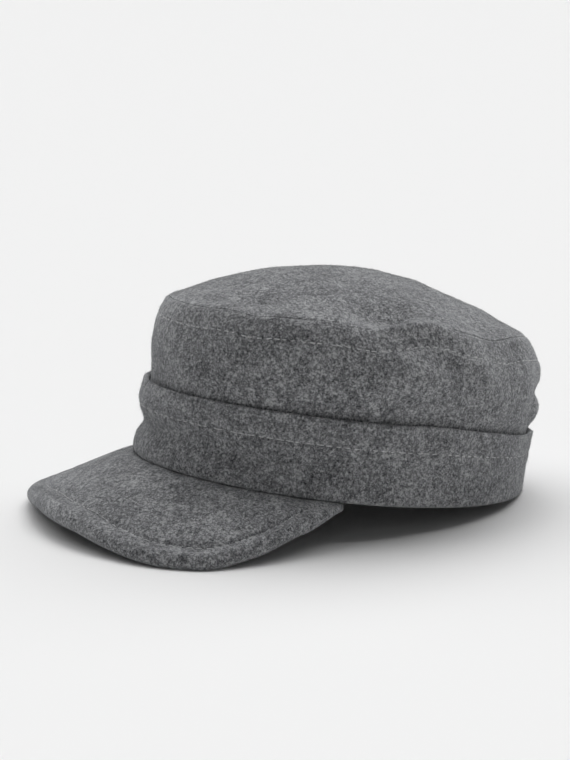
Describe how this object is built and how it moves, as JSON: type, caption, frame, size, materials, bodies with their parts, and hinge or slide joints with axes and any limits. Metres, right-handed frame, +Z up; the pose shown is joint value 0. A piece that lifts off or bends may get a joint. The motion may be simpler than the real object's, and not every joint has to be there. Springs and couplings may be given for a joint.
{
  "type": "military cap",
  "caption": "Soft grey wool military cap with a round stitched crown, a folded outer band and a short curved peak with a puffy rim.",
  "frame": {"origin": "on the surface the cap rests on, under the middle of the whole cap seen from above", "axes": "+Z up, the peak points towards -Y, the wearer's left is +X"},
  "size_m": [0.1776, 0.2636, 0.1173],
  "materials": {
    "wool": "fulled melange wool, matt with a soft nap"
  },
  "bodies": {
    "root": {"crown_top": "wool", "crown_side": "wool", "band": "wool", "peak_upper": "wool", "peak_under": "wool"}
  },
  "joints": []
}
